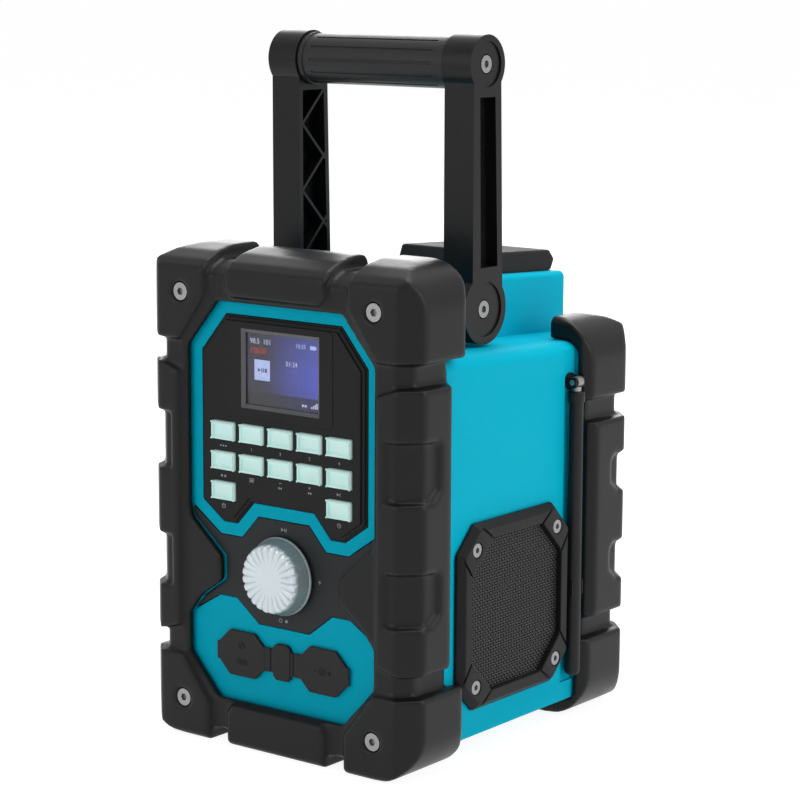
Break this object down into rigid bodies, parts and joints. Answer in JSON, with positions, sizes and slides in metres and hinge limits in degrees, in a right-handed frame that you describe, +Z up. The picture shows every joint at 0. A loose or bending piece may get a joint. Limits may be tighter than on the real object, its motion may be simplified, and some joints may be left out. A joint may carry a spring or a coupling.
{
  "type": "jobsite radio",
  "caption": "Jobsite radio with rubber bumpers, folding carry handle, display, key pad, push-and-turn knob, side speakers, swing-up antenna and lift-out battery pack.",
  "frame": {"origin": "on the ground, under the middle of the whole radio at rest", "axes": "+Z up through the handle; -Y out of the front panels; +X to the right seen from the front"},
  "size_m": [0.182, 0.2116, 0.3777],
  "materials": {
    "shell": "fine satin, coloured through",
    "bumper_rubber": "matt moulded rubber with a fine grain",
    "panel_plastic": "fine satin",
    "trim_plastic": "fine satin",
    "handle_plastic": "fine grain",
    "pack_plastic": "fine grain",
    "plain_plastic": "plain moulded",
    "knob": "pearl satin paint",
    "keys": "translucent satin",
    "window": "polished and clear",
    "display": "dark blue liquid crystal behind glass",
    "circuit_board": "solder mask",
    "mesh": "black powder coat",
    "basket": "plain coat",
    "cone": "pulp with a soft surround",
    "screw_steel": "zinc plated",
    "terminal_brass": "bright",
    "cover_rubber": "matt moulded rubber",
    "antenna_rubber": "matt rubber coat",
    "grip_rubber": "matt ribbed rubber",
    "grip_core": "drawn tube",
    "cells": "sleeved cans",
    "pack_button": "satin"
  },
  "bodies": {
    "housing": {"front_shell": "shell", "main_shell": "shell", "rear_cover": "trim_plastic", "front_bumper": "bumper_rubber", "rear_bumper": "bumper_rubber", "centre_panel": "panel_plastic", "control_panel": "panel_plastic", "display_window": "window", "display_module": "display", "key_board": "circuit_board", "encoder_body": "screw_steel", "main_board": "circuit_board", "usb_socket": "screw_steel", "aux_socket": "trim_plastic", "dc_socket": "trim_plastic", "port_anchor": "cover_rubber", "speaker_frame_left": "trim_plastic", "speaker_frame_right": "trim_plastic", "speaker_mesh_left": "mesh", "speaker_mesh_right": "mesh", "speaker_basket_left": "basket", "speaker_basket_right": "basket", "bumper_screws": "screw_steel", "speaker_screws": "screw_steel", "rear_cover_screws": "screw_steel", "pivot_bolts": "screw_steel", "battery_terminals": "terminal_brass", "antenna_base": "trim_plastic", "antenna_pin": "screw_steel", "antenna_clip": "trim_plastic"},
    "handle": {"handle_arm_left": "handle_plastic", "handle_arm_right": "handle_plastic", "grip_tube": "grip_core", "grip_sleeve": "grip_rubber", "handle_screws": "screw_steel"},
    "knob_plunger": {"encoder_plunger": "plain_plastic"},
    "knob": {"encoder_shaft": "screw_steel", "tuning_knob": "knob"},
    "port_cover_left": {"port_cover_left": "cover_rubber"},
    "port_cover_right": {"port_cover_right": "cover_rubber"},
    "speaker_cone_left": {"speaker_cone_left": "cone"},
    "speaker_cone_right": {"speaker_cone_right": "cone"},
    "antenna": {"antenna_knuckle": "screw_steel", "antenna_rod": "antenna_rubber"},
    "battery": {"battery_case": "pack_plastic", "battery_cells": "cells"},
    "battery_button": {"battery_button": "pack_button"},
    "key_1_1": {"key_1_1": "keys"},
    "key_1_2": {"key_1_2": "keys"},
    "key_1_3": {"key_1_3": "keys"},
    "key_1_4": {"key_1_4": "keys"},
    "key_1_5": {"key_1_5": "keys"},
    "key_2_1": {"key_2_1": "keys"},
    "key_2_2": {"key_2_2": "keys"},
    "key_2_3": {"key_2_3": "keys"},
    "key_2_4": {"key_2_4": "keys"},
    "key_2_5": {"key_2_5": "keys"},
    "key_3_1": {"key_3_1": "keys"},
    "key_3_5": {"key_3_5": "keys"}
  },
  "joints": [
    {"name": "handle_fold", "type": "hinge", "parent": "housing", "child": "handle", "pos_m": [0, -0.00875, 0.2347], "axis": [1, 0, 0], "range_deg": [-80, 40]},
    {"name": "knob_push", "type": "slide", "parent": "housing", "child": "knob_plunger", "axis": [0, 1, 0], "range_m": [0, 0.0008], "stiffness_N_per_m": 3000},
    {"name": "knob_turn", "type": "hinge", "parent": "knob_plunger", "child": "knob", "pos_m": [0, -0.10575, 0.0968], "axis": [0, -1, 0], "continuous": true},
    {"name": "key_1_1_press", "type": "slide", "parent": "housing", "child": "key_1_1", "axis": [0, 1, 0], "range_m": [0, 0.0008], "stiffness_N_per_m": 1000},
    {"name": "key_1_2_press", "type": "slide", "parent": "housing", "child": "key_1_2", "axis": [0, 1, 0], "range_m": [0, 0.0008], "stiffness_N_per_m": 1000},
    {"name": "key_1_3_press", "type": "slide", "parent": "housing", "child": "key_1_3", "axis": [0, 1, 0], "range_m": [0, 0.0008], "stiffness_N_per_m": 1000},
    {"name": "key_1_4_press", "type": "slide", "parent": "housing", "child": "key_1_4", "axis": [0, 1, 0], "range_m": [0, 0.0008], "stiffness_N_per_m": 1000},
    {"name": "key_1_5_press", "type": "slide", "parent": "housing", "child": "key_1_5", "axis": [0, 1, 0], "range_m": [0, 0.0008], "stiffness_N_per_m": 1000},
    {"name": "key_2_1_press", "type": "slide", "parent": "housing", "child": "key_2_1", "axis": [0, 1, 0], "range_m": [0, 0.0008], "stiffness_N_per_m": 1000},
    {"name": "key_2_2_press", "type": "slide", "parent": "housing", "child": "key_2_2", "axis": [0, 1, 0], "range_m": [0, 0.0008], "stiffness_N_per_m": 1000},
    {"name": "key_2_3_press", "type": "slide", "parent": "housing", "child": "key_2_3", "axis": [0, 1, 0], "range_m": [0, 0.0008], "stiffness_N_per_m": 1000},
    {"name": "key_2_4_press", "type": "slide", "parent": "housing", "child": "key_2_4", "axis": [0, 1, 0], "range_m": [0, 0.0008], "stiffness_N_per_m": 1000},
    {"name": "key_2_5_press", "type": "slide", "parent": "housing", "child": "key_2_5", "axis": [0, 1, 0], "range_m": [0, 0.0008], "stiffness_N_per_m": 1000},
    {"name": "key_3_1_press", "type": "slide", "parent": "housing", "child": "key_3_1", "axis": [0, 1, 0], "range_m": [0, 0.0008], "stiffness_N_per_m": 1000},
    {"name": "key_3_5_press", "type": "slide", "parent": "housing", "child": "key_3_5", "axis": [0, 1, 0], "range_m": [0, 0.0008], "stiffness_N_per_m": 1000},
    {"name": "port_cover_left_open", "type": "hinge", "parent": "housing", "child": "port_cover_left", "pos_m": [-0.0077, -0.09435, 0.0498], "axis": [0, 0, 1], "range_deg": [0, 90], "stiffness_Nm_per_rad": 0.004},
    {"name": "port_cover_right_open", "type": "hinge", "parent": "housing", "child": "port_cover_right", "pos_m": [0.0077, -0.09435, 0.0498], "axis": [0, 0, -1], "range_deg": [0, 90], "stiffness_Nm_per_rad": 0.004},
    {"name": "cone_left_move", "type": "slide", "parent": "housing", "child": "speaker_cone_left", "axis": [-1, 0, 0], "range_m": [-0.001, 0.001], "stiffness_N_per_m": 2000},
    {"name": "cone_right_move", "type": "slide", "parent": "housing", "child": "speaker_cone_right", "axis": [1, 0, 0], "range_m": [-0.001, 0.001], "stiffness_N_per_m": 2000},
    {"name": "antenna_swing", "type": "hinge", "parent": "housing", "child": "antenna", "pos_m": [0.0865, 0.05145, 0.1905], "axis": [0, -1, 0], "range_deg": [0, 180]},
    {"name": "battery_lift", "type": "slide", "parent": "housing", "child": "battery", "axis": [0, 0.0523, 0.9986], "range_m": [0, 0.105]},
    {"name": "battery_button_press", "type": "slide", "parent": "battery", "child": "battery_button", "axis": [0, -0.9986, 0.0523], "range_m": [0, 0.002], "stiffness_N_per_m": 1500}
  ]
}
